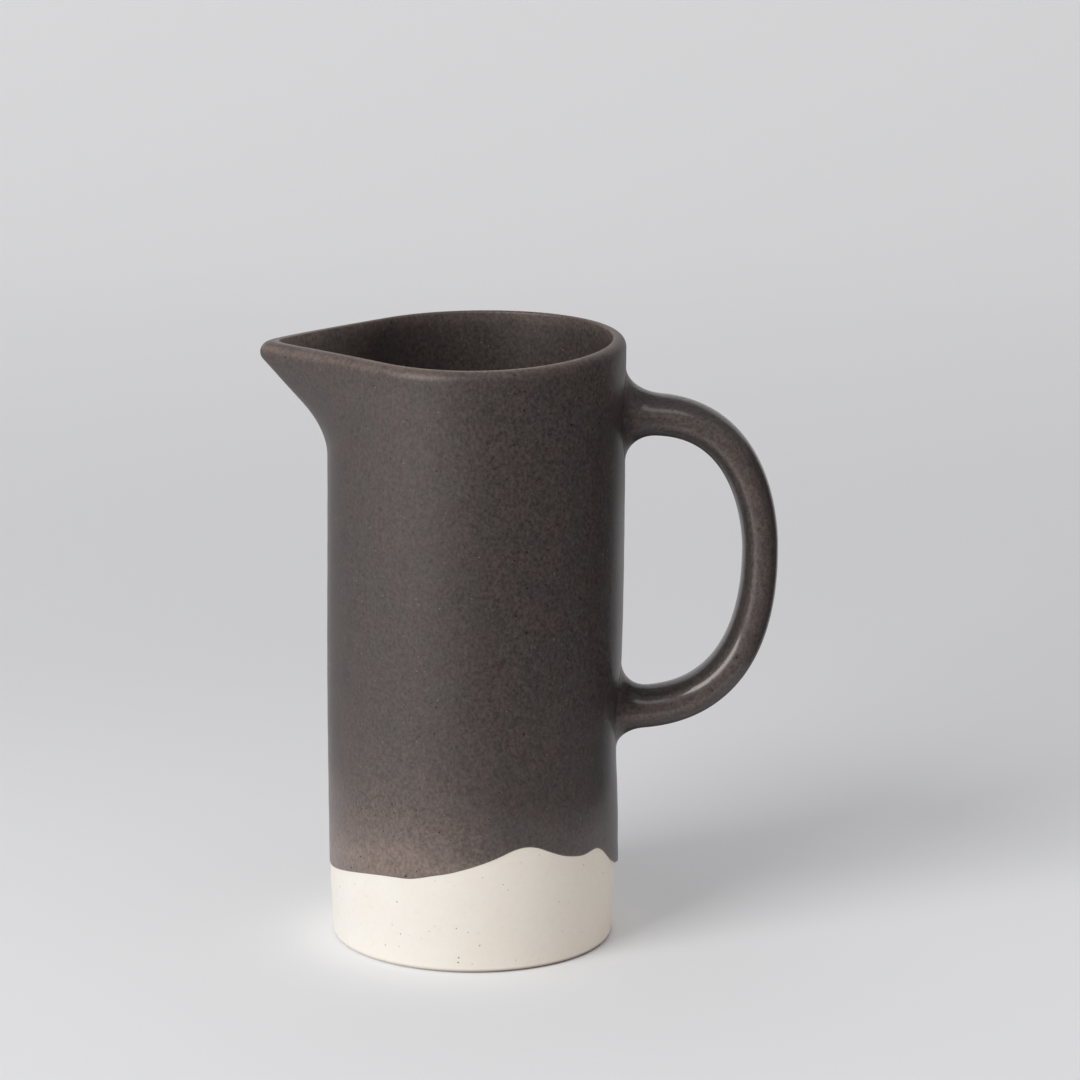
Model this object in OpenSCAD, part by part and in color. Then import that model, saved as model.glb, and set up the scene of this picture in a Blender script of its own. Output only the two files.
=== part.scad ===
// Stoneware pitcher. A thrown cylinder carries a beak spout let into its rim and a pulled loop
// handle, whose two ends are bedded on the wall in slip. A dark glaze coats the inside and the
// outside down to a wavy dip line, and leaves the foot bare. All lengths are millimetres.
// The origin is the centre of the foot on the table, +Z is up, the spout points along -X and
// the handle along +X. Outside sizes are measured over the glaze.

/* [Body] */
// Height of the rim above the table
jug_h = 200; // [180:1:240]
// Outside radius at the rim
rim_r = 48.3; // [44:0.1:56]
// Outside radius at the table, before the foot is rounded
foot_r = 47.5; // [44:0.1:56]
// Thickness of the wall at the rim
rim_wall = 4; // [3.2:0.1:6]
// Thickness of the wall at the floor
base_wall = 5.6; // [4:0.1:9]
// Height of the clay floor above the table
floor_h = 7; // [5:0.5:14]
// Radius of the corner between floor and wall, inside
floor_corner = 9; // [3:0.5:18]
// Rounding of the outside edge of the foot
foot_round = 0.9; // [0.4:0.1:4]
// Width of the ring that the jug stands on
foot_ring_w = 9; // [5:0.5:20]
// Depth of the turned recess under the floor
recess_h = 1.5; // [0.5:0.1:3]

/* [Spout] */
// Lean of the spout's ridge from upright, in degrees
spout_lean = 40.7; // [28:0.1:46]
// Depth below the rim at which the straight ridge would meet the wall
spout_h = 30.8; // [22:0.1:36]
// Height over which the ridge fairs into the wall
spout_fairing = 18; // [8:0.1:24]
// Rounding of the lip at the tip, seen from the side
tip_round = 3.5; // [2:0.1:5]
// Drop of the tip below the level of the rim
tip_drop = 1; // [0:0.1:4]
// Half angle over which the ridge is rounded, in degrees
ridge_soft = 2.9; // [1.5:0.1:8]
// Half angle over which the channel's root is rounded, in degrees
channel_soft = 2; // [1:0.1:8]
// Reach of the channel inside, as a share of the ridge's reach
channel_share = 0.69; // [0.5:0.01:0.75]
// Height of the seam's flat bottom below the end of the fairing
seam_margin = 3; // [1:0.1:8]
// Half angle of the seam's flat bottom, in degrees
seam_low_angle = 14; // [8:0.5:25]

/* [Handle] */
// Depth of the upper root's centre below the rim
upper_root_drop = 25.8; // [20:0.1:40]
// Height from the lower root's centre to the upper root's centre
handle_span = 97.8; // [80:0.1:120]
// Depth of the outermost point of the grip below the upper root
grip_drop = 43.8; // [36:0.1:60]
// Reach from the wall to the middle of the grip
handle_reach = 44.8; // [36:0.1:60]
// Breadth of the grip
grip_w = 14; // [10:0.1:20]
// Thickness of the grip
grip_t = 11.2; // [8:0.1:15]
// Breadth of the handle at its roots
root_w = 16; // [12:0.1:24]
// Thickness of the handle at its roots
root_t = 13.6; // [9:0.1:18]
// Slope of the handle at the upper root, in degrees above level
upper_tilt = 9.4; // [-10:0.1:15]
// Slope of the handle at the lower root, in degrees above level
lower_tilt = -4.2; // [-15:0.1:10]

/* [Handle joints] */
// Length along the handle that the slip covers
joint_len = 8.5; // [4:0.1:12]
// Width of the fillet on the side away from the finger gap
fillet_out = 8; // [3:0.1:11]
// Width of the fillet on the side of the finger gap
fillet_in = 8.5; // [3:0.1:12]
// Width of the fillet at the handle's two flanks
fillet_side = 4; // [2:0.1:8]

/* [Glaze] */
// Thickness of the glaze coat
glaze = 0.6; // [0.3:0.05:1]
// Lowest height of the dip line above the table
dip_low = 24; // [12:0.5:40]
// Rise of the dip line's highest single wave
dip_rise = 10; // [2:0.5:20]

/* [Hidden] */

$fn = 96;
// Overrun of every cutting shape
overrun = 2;
// Colours of the bare clay, of the slip at the joints and of the glaze
clay_colour = "#e9dfcf";
slip_colour = "#c9b9a4";
glaze_colour = "#4f4542";

// Counts of facets
wall_rows = 9;
lip_steps = 4;
beak_columns = 14;
handle_sides = 24;
handle_half_rings = 15;
fillet_steps = 4;
dip_columns = 96;

// Waves of the dip line: the angle of the crest, its half angle, and its height as a share of
// dip_rise. Angles run from -Y towards +X.
dip_shares = [[0, 100, 0.9], [20, 34, 1], [54, 20, 0.8], [150, 60, 0.7], [-128, 45, 0.45]];

// Shape of the handle's centre line: the arms of its two curves, as shares of the reach and of
// the height that each curve spans
upper_arm_share = 0.99;
lower_arm_share = 1.04;
upper_bend_share = 0.11;
lower_bend_share = 0.15;
// Exponent of the handle's oval section: 1 is an ellipse, less is squarer
section_power = 0.9;

// The rim is a full round on top of the wall
rim_round = rim_wall / 2;
rim_z = jug_h - rim_round;
rim_mid_r = rim_r - rim_round;

// Seam between spout and body, from its flat bottom to the rim
seam_z = jug_h - spout_h - spout_fairing / 2 - seam_margin;
seam_spare_angle = 2.5;
seam_top_angle = acos(rim_r / (rim_r + spout_h * tan(spout_lean))) + ridge_soft + seam_spare_angle;

// Floor of the glazed inside, and the centre of its corner
glazed_floor = floor_h + glaze;
corner_z = glazed_floor + floor_corner;

// Roots and grip of the handle
upper_root_z = jug_h - upper_root_drop;
lower_root_z = upper_root_z - handle_span;
grip_z = upper_root_z - grip_drop;
grip_x = wall_r(grip_z) + handle_reach;
// Step over which slopes are measured
slope_step = rim_wall / 8;

// Radius of the glazed outside, of the bare clay and of the glazed inside at a height
function wall_r(z) = foot_r + (rim_r - foot_r) * z / rim_z;
function clay_r(z) = wall_r(z) - glaze;
function inner_r(z) = wall_r(z) - base_wall + (base_wall - rim_wall) * z / rim_z;

// Reach of the spout's ridge beyond the wall at a depth below the rim: a straight slope that
// fairs into the wall along a parabola
function ridge_reach(depth) =
    let (fairing_end = spout_h + spout_fairing / 2,
         fairing_start = spout_h - spout_fairing / 2)
    depth >= fairing_end ? 0
    : depth > fairing_start ? tan(spout_lean) * pow(fairing_end - depth, 2) / (2 * spout_fairing)
    : tan(spout_lean) * (spout_h - depth);

// Angle left between a direction and the point where the spout's flank leaves the round wall
function flank_angle(radius, reach, a, soft) =
    max(0, acos(radius / (radius + reach)) + soft - sqrt(a * a + soft * soft));

// Glazed outside and inside of the spout, a degrees from its ridge: flanks tangent to the wall
function outside_r(a, z) =
    let (radius = wall_r(z))
    radius / cos(flank_angle(radius, ridge_reach(jug_h - z), a, ridge_soft));
function inside_r(a, z) =
    let (radius = inner_r(z))
    radius / cos(flank_angle(radius, channel_share * ridge_reach(jug_h - z), a, channel_soft));
function outside_lean(a, z) =
    atan((outside_r(a, z) - outside_r(a, z - slope_step)) / slope_step);
function inside_lean(a, z) =
    atan((inside_r(a, z) - inside_r(a, z - slope_step)) / slope_step);

// How much a direction belongs to the tip: 1 on the ridge, 0 where the flanks end
function tip_share(a) =
    pow(flank_angle(rim_r, ridge_reach(0), a, ridge_soft) / acos(rim_r / (rim_r + ridge_reach(0))), 2);

// Half angle of the seam at a height: a tongue that widens towards the rim
function seam_angle(z) =
    seam_low_angle + (seam_top_angle - seam_low_angle)
    * cos(90 * max(0, rim_z - z) / (rim_z - seam_z));

// Point at a radius and height, a degrees from the spout's direction
function beak_point(radius, a, z) = [-radius * cos(a), -radius * sin(a), z];

// Section of the spout at u, from -1 at one seam to 1 at the other: up the outside, over the lip
// and down the inside. skin is how far the surface lies under the glazed one.
function beak_column(u, skin) =
    let (rim_a = u * seam_top_angle,
         share = tip_share(rim_a),
         top_z = jug_h - tip_drop * share,
         lip = rim_round + (tip_round - rim_round) * share,
         out_lean = outside_lean(rim_a, top_z - lip),
         in_lean = inside_lean(rim_a, top_z - rim_round),
         out_z = top_z - lip * (1 + sin(out_lean)),
         in_z = top_z - rim_round * (1 - sin(in_lean)),
         out_a = u * seam_angle(out_z),
         in_a = u * seam_angle(in_z),
         out_mid_r = outside_r(out_a, out_z) - lip * cos(out_lean),
         in_mid_r = inside_r(in_a, in_z) + rim_round * cos(in_lean))
    concat(
        [for (k = [0 : wall_rows])
            let (z = seam_z + (out_z - seam_z) * k / wall_rows, a = u * seam_angle(z))
            beak_point(outside_r(a, z) - skin / cos(outside_lean(a, z)), a, z)],
        [for (k = [1 : lip_steps])
            let (b = -out_lean + (90 + out_lean) * k / (lip_steps + 1))
            beak_point(out_mid_r + (lip - skin) * cos(b), out_a, top_z - lip + (lip - skin) * sin(b))],
        [beak_point((out_mid_r + in_mid_r) / 2, (out_a + in_a) / 2, top_z - skin)],
        [for (k = [lip_steps : -1 : 1])
            let (b = 180 - in_lean - (90 - in_lean) * k / (lip_steps + 1))
            beak_point(in_mid_r + (rim_round - skin) * cos(b), in_a,
                       top_z - rim_round + (rim_round - skin) * sin(b))],
        [for (k = [wall_rows : -1 : 0])
            let (z = seam_z + (in_z - seam_z) * k / wall_rows, a = u * seam_angle(z))
            beak_point(inside_r(a, z) + skin / cos(inside_lean(a, z)), a, z)]);

// Columns of the spout, closer together towards the ridge
function beak_columns_u() =
    [for (k = [-beak_columns : beak_columns])
        let (t = k / beak_columns)
        t * (1 + 2 * t * t) / 3];

// Height of the dip line in a direction, counted from -Y towards +X
function wave(a, crest) =
    let (off = abs((a - crest[0] + 540) % 360 - 180))
    off < crest[1] ? crest[2] * dip_rise * pow(cos(90 * off / crest[1]), 2) : 0;
function dip_z(a, k = 0) = k == len(dip_shares) ? dip_low : wave(a, dip_shares[k]) + dip_z(a, k + 1);

// Centre line of the handle as two curves that meet upright at the grip
function curve_point(p, t) =
    pow(1 - t, 3) * p[0] + 3 * pow(1 - t, 2) * t * p[1] + 3 * (1 - t) * t * t * p[2] + pow(t, 3) * p[3];
function curve_slope(p, t) =
    3 * pow(1 - t, 2) * (p[1] - p[0]) + 6 * (1 - t) * t * (p[2] - p[1]) + 3 * t * t * (p[3] - p[2]);
function half_line(root_z, tilt, arm_share, bend_share) =
    let (arm = arm_share * handle_reach, root = [clay_r(root_z), root_z])
    [root, root + arm * [cos(tilt), sin(tilt)],
     [grip_x, grip_z + bend_share * (root_z - grip_z)], [grip_x, grip_z]];
upper_line = half_line(upper_root_z, upper_tilt, upper_arm_share, upper_bend_share);
lower_line = half_line(lower_root_z, lower_tilt, lower_arm_share, lower_bend_share);

// Places of the rings along one half: on the wall, at the end of the slip, then evenly to the grip
function half_places(line) =
    let (first = joint_len / norm(3 * (line[1] - line[0])))
    concat([0], [for (k = [0 : handle_half_rings]) first + (1 - first) * k / handle_half_rings]);

// Oval of the handle in a direction b: breadth first, then thickness
function oval(b) =
    [sign(cos(b)) * pow(abs(cos(b)), section_power), sign(sin(b)) * pow(abs(sin(b)), section_power)];
function side_angle(k) = (k + 0.5) * 360 / handle_sides;

// Ring of the handle at t on one half, where turn is 1 on the upper half and -1 on the lower one
function handle_ring(line, t, turn, skin) =
    let (c = curve_point(line, t),
         s = turn * curve_slope(line, t),
         outward = [-s[1], s[0]] / norm(s),
         half_t = (grip_t + (root_t - grip_t) * pow(1 - t, 2)) / 2 - skin,
         half_w = (grip_w + (root_w - grip_w) * pow(1 - t, 2)) / 2 - skin)
    [for (k = [0 : handle_sides - 1])
        let (o = oval(side_angle(k)))
        [c[0] + outward[0] * half_t * o[1], half_w * o[0], c[1] + outward[1] * half_t * o[1]]];

// Point carried along X on to the wall, skin under the glazed surface
function on_wall(p, skin) = [sqrt(pow(wall_r(p[2]) - skin, 2) - p[1] * p[1]), p[1], p[2]];
function root_ring(line, turn, skin) =
    [for (p = handle_ring(line, 0, turn, skin)) on_wall(p, skin)];

// Rings from the upper wall round to the lower wall
function handle_rings(skin) =
    let (up = half_places(upper_line), down = half_places(lower_line), last = len(down) - 1)
    concat([root_ring(upper_line, 1, skin)],
           [for (k = [1 : len(up) - 1]) handle_ring(upper_line, up[k], 1, skin)],
           [for (k = [last - 1 : -1 : 1]) handle_ring(lower_line, down[k], -1, skin)],
           [root_ring(lower_line, -1, skin)]);

// Edge of the slip on the wall round one root
function joint_edge(line, turn) =
    let (outward = turn * [-sin(root_tilt(line)), cos(root_tilt(line))])
    [for (k = [0 : handle_sides - 1])
        let (o = oval(side_angle(k)),
             fillet = fillet_side + ((o[1] > 0 ? fillet_out : fillet_in) - fillet_side) * o[1] * o[1])
        [0, (root_w / 2 + fillet) * o[0], line[0][1] + outward[1] * (root_t / 2 + fillet) * o[1]]];
function root_tilt(line) = atan2(line[1][1] - line[0][1], line[1][0] - line[0][0]);

// Closed outlines of the slip round one root, one for each side of the handle: along the clay
// handle, out through its glaze, down the hollow fillet to the wall, and back along the wall
function joint_loops(line, turn) =
    let (end = half_places(line)[1],
         clay_root = root_ring(line, turn, glaze),
         clay_end = handle_ring(line, end, turn, glaze),
         glazed_root = root_ring(line, turn, 0),
         glazed_end = handle_ring(line, end, turn, 0),
         edge = joint_edge(line, turn))
    [for (k = [0 : handle_sides - 1])
        let (foot = on_wall(edge[k], 0), bare = on_wall(edge[k], glaze))
        concat([clay_root[k], clay_end[k]],
               [for (j = [0 : fillet_steps])
                   let (b = 90 * j / fillet_steps)
                   glazed_root[k] + (glazed_end[k] - glazed_root[k]) * (1 - sin(b))
                   + (foot - glazed_root[k]) * (1 - cos(b))],
               [bare, on_wall((bare + clay_root[k]) / 2, glaze)])];

function reversed(list) = [for (k = [len(list) - 1 : -1 : 0]) list[k]];
function flat(lists) = [for (list = lists) each list];

// Solid through a row of closed outlines with equal counts of points. It closes on itself, or its
// two end outlines are filled across from each point to the one that mirrors it.
module loft(loops, closed) {
    rows = len(loops);
    n = len(loops[0]);
    sides = [for (i = [0 : rows - (closed ? 1 : 2)], j = [0 : n - 1])
        let (i2 = (i + 1) % rows, j2 = (j + 1) % n)
        each [[i * n + j, i * n + j2, i2 * n + j2], [i * n + j, i2 * n + j2, i2 * n + j]]];
    cap = [for (j = [0 : floor(n / 2) - 2])
        each [[j, n - 1 - j, n - 2 - j], [j, n - 2 - j, j + 1]]];
    odd_cap = n % 2 == 0 ? [] : [[floor(n / 2) - 1, floor(n / 2) + 1, floor(n / 2)]];
    start_cap = concat(cap, odd_cap);
    end_cap = [for (f = start_cap) [for (v = reversed(f)) (rows - 1) * n + v]];
    polyhedron(flat(loops), closed ? sides : concat(sides, start_cap, end_cap), convexity = 10);
}

// Notch in the wall that the spout fills, cut square to the wall along the seam
module spout_notch() {
    inner = rim_r / 2;
    outer = 3 * rim_r;
    seam_rows = [for (k = [0 : wall_rows]) seam_z + (rim_z - seam_z) * k / wall_rows];
    loft([for (z = concat(seam_rows, [jug_h + overrun]))
        let (a = seam_angle(z))
        [beak_point(inner, a, z), beak_point(outer, a, z),
         beak_point(outer, -a, z), beak_point(inner, -a, z)]],
        false);
}

// Space below the dip line, as a ring that cuts the coat of the wall
module dip_cut() {
    inner = min(rim_r, foot_r) - base_wall;
    outer = max(rim_r, foot_r) + overrun;
    loft([for (k = [0 : dip_columns - 1])
        let (a = 360 * k / dip_columns, d = [sin(a), -cos(a)], z = dip_z(a))
        [[inner * d[0], inner * d[1], 0], [outer * d[0], outer * d[1], 0],
         [outer * d[0], outer * d[1], z], [inner * d[0], inner * d[1], z]]],
        true);
}

// Patch of the coat that one handle joint takes the place of
module joint_patch(line, turn) {
    translate([rim_r / 2, 0, 0])
        rotate([90, 0, 90])
            linear_extrude(rim_r)
                polygon([for (p = joint_edge(line, turn)) [p[1], p[2]]]);
}

// Section of the clay: wall, floor, recess and rim
module clay_section() {
    foot = clay_r(foot_round);
    ring_r = foot - foot_round - foot_ring_w;
    clay_corner = floor_corner + glaze;
    corner_r = inner_r(corner_z) - floor_corner;
    difference() {
        union() {
            polygon([[0, recess_h], [ring_r - recess_h, recess_h], [ring_r, 0], [foot - foot_round, 0],
                     [foot, foot_round], [clay_r(rim_z), rim_z], [0, rim_z]]);
            translate([foot - foot_round, foot_round])
                circle(foot_round);
        }
        polygon([[-overrun, floor_h], [corner_r, floor_h], [corner_r + clay_corner, corner_z],
                 [inner_r(rim_z) + glaze, rim_z], [inner_r(rim_z) + glaze, jug_h], [-overrun, jug_h]]);
        translate([corner_r, corner_z])
            circle(clay_corner);
    }
    translate([rim_mid_r, rim_z])
        circle(rim_round - glaze);
}

// Glaze over one half of the rim: way is 1 for the outer half and 0 for the inner half
module rim_coat(way) {
    translate([rim_mid_r, rim_z])
        intersection() {
            difference() {
                circle(rim_round);
                circle(rim_round - glaze);
            }
            translate([(way - 1) * rim_wall, 0])
                square(rim_wall);
        }
}

module body() {
    color(clay_colour)
        difference() {
            rotate_extrude()
                clay_section();
            spout_notch();
        }
}

module spout() {
    color(clay_colour)
        loft([for (u = beak_columns_u()) beak_column(u, glaze)], false);
}

module handle() {
    color(clay_colour)
        loft(reversed(handle_rings(glaze)), false);
}

module upper_handle_joint() {
    color(slip_colour)
        loft(reversed(joint_loops(upper_line, 1)), true);
}

module lower_handle_joint() {
    color(slip_colour)
        loft(joint_loops(lower_line, -1), true);
}

module wall_glaze() {
    color(glaze_colour)
        difference() {
            rotate_extrude() {
                polygon([[clay_r(dip_low), dip_low], [wall_r(dip_low), dip_low],
                         [wall_r(rim_z), rim_z], [clay_r(rim_z), rim_z]]);
                rim_coat(1);
            }
            spout_notch();
            dip_cut();
            joint_patch(upper_line, 1);
            joint_patch(lower_line, -1);
        }
}

module spout_glaze() {
    outer = [for (u = beak_columns_u()) beak_column(u, 0)];
    inner = [for (u = beak_columns_u()) beak_column(u, glaze)];
    last = len(outer) - 1;
    color(glaze_colour)
        loft([for (k = [len(outer[0]) - 1 : -1 : 0])
            concat([for (i = [0 : last]) outer[i][k]], [for (i = [last : -1 : 0]) inner[i][k]])],
            false);
}

module handle_glaze() {
    outer = handle_rings(0);
    inner = handle_rings(glaze);
    last = len(outer) - 2;
    color(glaze_colour)
        loft([for (k = [0 : handle_sides - 1])
            concat([for (i = [1 : last]) outer[i][k]], [for (i = [last : -1 : 1]) inner[i][k]])],
            true);
}

module liner_glaze() {
    corner_r = inner_r(corner_z) - floor_corner;
    color(glaze_colour)
        difference() {
            rotate_extrude() {
                translate([0, floor_h])
                    square([corner_r, glaze]);
                translate([corner_r, corner_z])
                    intersection() {
                        difference() {
                            circle(floor_corner + glaze);
                            circle(floor_corner);
                        }
                        translate([0, -floor_corner - glaze])
                            square(floor_corner + glaze);
                    }
                polygon([[inner_r(corner_z), corner_z], [inner_r(corner_z) + glaze, corner_z],
                         [inner_r(rim_z) + glaze, rim_z], [inner_r(rim_z), rim_z]]);
                rim_coat(0);
            }
            spout_notch();
        }
}

body();
spout();
handle();
upper_handle_joint();
lower_handle_joint();
wall_glaze();
spout_glaze();
handle_glaze();
liner_glaze();
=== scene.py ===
"""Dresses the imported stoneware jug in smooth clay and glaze, and sets a plain studio round it.

Lengths are metres in the part's own frame: the origin is the middle of the foot on the table, +Z is up, the
spout points along -X and the handle along +X. A turn is an angle about the upright axis, in radians, counted
from the spout's direction, so that the front is at a quarter turn and the handle at a half turn.
"""

import logging
import math
from collections.abc import Callable
from dataclasses import dataclass, field
from enum import Enum

import bpy
import numpy as np
from mathutils import Matrix, Vector


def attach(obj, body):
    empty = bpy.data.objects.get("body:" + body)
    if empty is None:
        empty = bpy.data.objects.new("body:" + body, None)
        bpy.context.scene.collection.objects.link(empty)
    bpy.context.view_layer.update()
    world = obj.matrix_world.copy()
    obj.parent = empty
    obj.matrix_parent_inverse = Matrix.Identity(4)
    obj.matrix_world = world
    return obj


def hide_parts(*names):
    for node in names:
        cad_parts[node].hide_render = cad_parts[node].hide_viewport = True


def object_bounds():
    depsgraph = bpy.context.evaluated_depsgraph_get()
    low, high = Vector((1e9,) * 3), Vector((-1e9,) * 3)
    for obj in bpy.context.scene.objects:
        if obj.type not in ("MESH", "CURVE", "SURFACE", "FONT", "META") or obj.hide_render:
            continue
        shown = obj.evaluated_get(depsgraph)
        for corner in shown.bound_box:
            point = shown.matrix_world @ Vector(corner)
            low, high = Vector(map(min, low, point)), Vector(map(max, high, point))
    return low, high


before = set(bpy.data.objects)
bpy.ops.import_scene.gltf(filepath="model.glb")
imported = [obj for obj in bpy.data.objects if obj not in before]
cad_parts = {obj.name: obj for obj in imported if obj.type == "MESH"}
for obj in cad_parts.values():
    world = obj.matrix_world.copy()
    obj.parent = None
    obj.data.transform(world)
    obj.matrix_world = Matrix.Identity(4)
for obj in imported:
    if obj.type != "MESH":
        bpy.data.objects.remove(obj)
CAD_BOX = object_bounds()

log = logging.getLogger("jug")

Values = np.ndarray
Colour = tuple[float, float, float]
Place = tuple[float, float, float]
Socket = bpy.types.NodeSocket
Feed = Socket | float | tuple[float, ...]


def smooth(share: Values) -> Values:
    """Eases a share from 0 to 1, level at both ends."""
    held = np.clip(share, 0.0, 1.0)
    return held * held * (3.0 - 2.0 * held)


def bell(offset: Values, spread: float | Values) -> Values:
    """Falls away from 1 on both sides as a bell curve does."""
    return np.exp(-0.5 * (offset / spread) ** 2)


def wrapped(turn: Values) -> Values:
    """Brings a turn within half a circle of the spout."""
    return (turn + np.pi) % (2.0 * np.pi) - np.pi


def ring_mesh(name: str, points: Values, marks: dict[str, Values]) -> bpy.types.Object:
    """Makes a closed, smooth piece from rings of points, with the end rings drawn in to their middles.

    Args:
        name: Name of the piece.
        points: Places by ring, by point round the ring and by axis.
        marks: Values by ring and by point, kept on the mesh under their names.

    Returns:
        The new piece, linked to the scene.
    """
    rings, sides = points.shape[:2]
    here = np.arange(rings * sides).reshape(rings, sides)
    beside = np.roll(here, -1, axis=1)
    quads = np.stack([here[:-1], beside[:-1], beside[1:], here[1:]], axis=-1).reshape(-1, 4)
    first_end = rings * sides
    last_end = first_end + 1
    ends = [(right, left, first_end) for left, right in zip(here[0].tolist(), beside[0].tolist())]
    ends += [(left, right, last_end) for left, right in zip(here[-1].tolist(), beside[-1].tolist())]
    middles = points[[0, -1]].mean(axis=1)
    mesh = bpy.data.meshes.new(name)
    mesh.from_pydata(np.concatenate([points.reshape(-1, 3), middles]).tolist(), [], quads.tolist() + ends)
    mesh.polygons.foreach_set("use_smooth", np.ones(len(mesh.polygons), dtype=bool))
    for mark, values in marks.items():
        kept = mesh.attributes.new(mark, "FLOAT", "POINT")
        kept.data.foreach_set("value", np.append(values.ravel(), values[[0, -1], 0]))
    mesh.update()
    piece = bpy.data.objects.new(name, mesh)
    bpy.context.scene.collection.objects.link(piece)
    return piece


@dataclass(frozen=True)
class RowCounts:
    """How many rows a section of the wall has on each stretch."""

    wall: int
    lip: int
    bore: int
    corner: int
    floor: int


class Face(Enum):
    """The two faces that a section of the wall can follow, by how many coats of glaze lie over them."""

    GLAZED = 0
    CLAY = 1


@dataclass(frozen=True)
class JugForm:
    """Shape of the thrown wall with its beak spout, over the glaze."""

    height: float
    rim_radius: float
    foot_radius: float = 0.0475
    rim_wall: float = 0.0043
    rim_shoulder: float = 0.0034
    rim_edge: float = 0.0008
    base_wall: float = 0.0056
    floor_height: float = 0.0076
    floor_corner: float = 0.009
    glaze: float = 0.0006
    spout_lean: float = math.radians(40.7)
    spout_height: float = 0.0298
    spout_fairing: float = 0.018
    tip_round: float = 0.0035
    ridge_soft: float = math.radians(2.9)
    channel_soft: float = math.radians(3.0)
    channel_share: float = 0.77
    rim_slope: float = 0.018
    slope_start: float = 0.12
    rim_lift: float = 0.00035
    front_sag: float = 0.0013
    back_sag: float = 0.0004
    ripple: float = 0.00002
    ripple_pitch: float = 0.014
    belly: float = 0.0005
    belly_height: float = 0.104
    belly_slant: float = 0.02
    belly_spread: float = 0.036
    dent: float = 0.0012
    dent_height: float = 0.066
    dent_spread: float = 0.013
    dent_turn: float = math.radians(35.0)
    floor_ripple: float = 0.00015
    floor_ripple_pitch: float = 0.009
    slope_step: float = 0.0005

    @classmethod
    def from_frame(cls) -> "JugForm":
        """Takes the height and the rim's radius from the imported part."""
        highest = CAD_BOX[1]
        return cls(height=highest.z, rim_radius=highest.y)

    def wall_radius(self, z: Values) -> Values:
        """Radius of the plain outside at a height."""
        return self.foot_radius + (self.rim_radius - self.foot_radius) * z / self.height

    def bore_radius(self, z: Values) -> Values:
        """Radius of the plain inside at a height."""
        return self.wall_radius(z) - self.base_wall + (self.base_wall - self.rim_wall) * z / self.height

    def ridge_reach(self, z: Values) -> Values:
        """Works out how far the spout's ridge stands out from the wall.

        Args:
            z: Heights.

        Returns:
            Reach beyond the wall: a straight slope that fairs into the wall along a parabola.
        """
        depth = self.height - z
        slope = math.tan(self.spout_lean)
        fairing_end = self.spout_height + self.spout_fairing / 2.0
        fairing_start = self.spout_height - self.spout_fairing / 2.0
        faired = slope * (fairing_end - depth) ** 2 / (2.0 * self.spout_fairing)
        straight = slope * (self.spout_height - depth)
        reach = np.where(depth > fairing_start, faired, straight)
        return np.where(depth >= fairing_end, 0.0, reach)

    def flank(self, radius: Values, reach: Values, turn: Values, soft: float) -> Values:
        """Works out how far round a direction lies from where the spout's flank leaves the wall.

        Args:
            radius: Radius of the wall.
            reach: Reach of the ridge beyond it.
            turn: Directions.
            soft: Softness of the ridge, as an angle.

        Returns:
            Angle to the line where the flank is tangent to the wall, or zero past that line.
        """
        edge = np.arccos(radius / (radius + reach))
        return np.maximum(0.0, edge + soft - np.hypot(wrapped(turn), soft))

    def hand(self, turn: Values, z: Values) -> Values:
        """Works out the unevenness that throwing and fixing the handle left in the wall.

        Args:
            turn: Directions.
            z: Heights.

        Returns:
            Outward shift of the wall.
        """
        ripple = self.ripple * np.sin(2.0 * np.pi * z / self.ripple_pitch + turn)
        belly = self.belly * bell(z - self.belly_height + self.belly_slant * np.cos(turn), self.belly_spread)
        below_handle = bell(z - self.dent_height, self.dent_spread)
        dented = self.dent * below_handle * bell(wrapped(turn - np.pi), self.dent_turn)
        return ripple + belly - dented

    def outside(self, turn: Values, z: Values) -> Values:
        """Works out the glazed outside.

        Args:
            turn: Directions.
            z: Heights.

        Returns:
            Radii, with the spout and the unevenness.
        """
        radius = self.wall_radius(z)
        flank = self.flank(radius, self.ridge_reach(z), turn, self.ridge_soft)
        return radius / np.cos(flank) + self.hand(turn, z)

    def inside(self, turn: Values, z: Values) -> Values:
        """Works out the glazed inside.

        Args:
            turn: Directions.
            z: Heights.

        Returns:
            Radii, with the spout's channel and the unevenness.
        """
        radius = self.bore_radius(z)
        flank = self.flank(radius, self.channel_share * self.ridge_reach(z), turn, self.channel_soft)
        return radius / np.cos(flank) + self.hand(turn, z)

    def lean(self, face: Callable[[Values, Values], Values], turn: Values, z: Values) -> Values:
        """Gives the angle by which a face of the wall leans out."""
        return np.arctan((face(turn, z) - face(turn, z - self.slope_step)) / self.slope_step)

    def tip_share(self, turn: Values) -> Values:
        """Works out how much a direction belongs to the spout's tip.

        Args:
            turn: Directions.

        Returns:
            Shares, from 0 where the spout leaves the wall to 1 on its ridge.
        """
        reach = self.ridge_reach(np.array(self.height))
        whole = np.arccos(self.rim_radius / (self.rim_radius + reach))
        return (self.flank(np.array(self.rim_radius), reach, turn, self.ridge_soft) / whole) ** 2

    def columns(self, count: int, ridge_share: float) -> Values:
        """Spreads directions round the jug, closer together towards the spout's ridge.

        Args:
            count: How many directions.
            ridge_share: Spacing at the ridge as a share of the mean spacing.

        Returns:
            Turns from the handle round by the back, the spout and the front to the handle again.
        """
        run = np.arange(count) / count * 2.0 - 1.0
        return np.pi * (ridge_share * run + (1.0 - ridge_share) * run**3)

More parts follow.
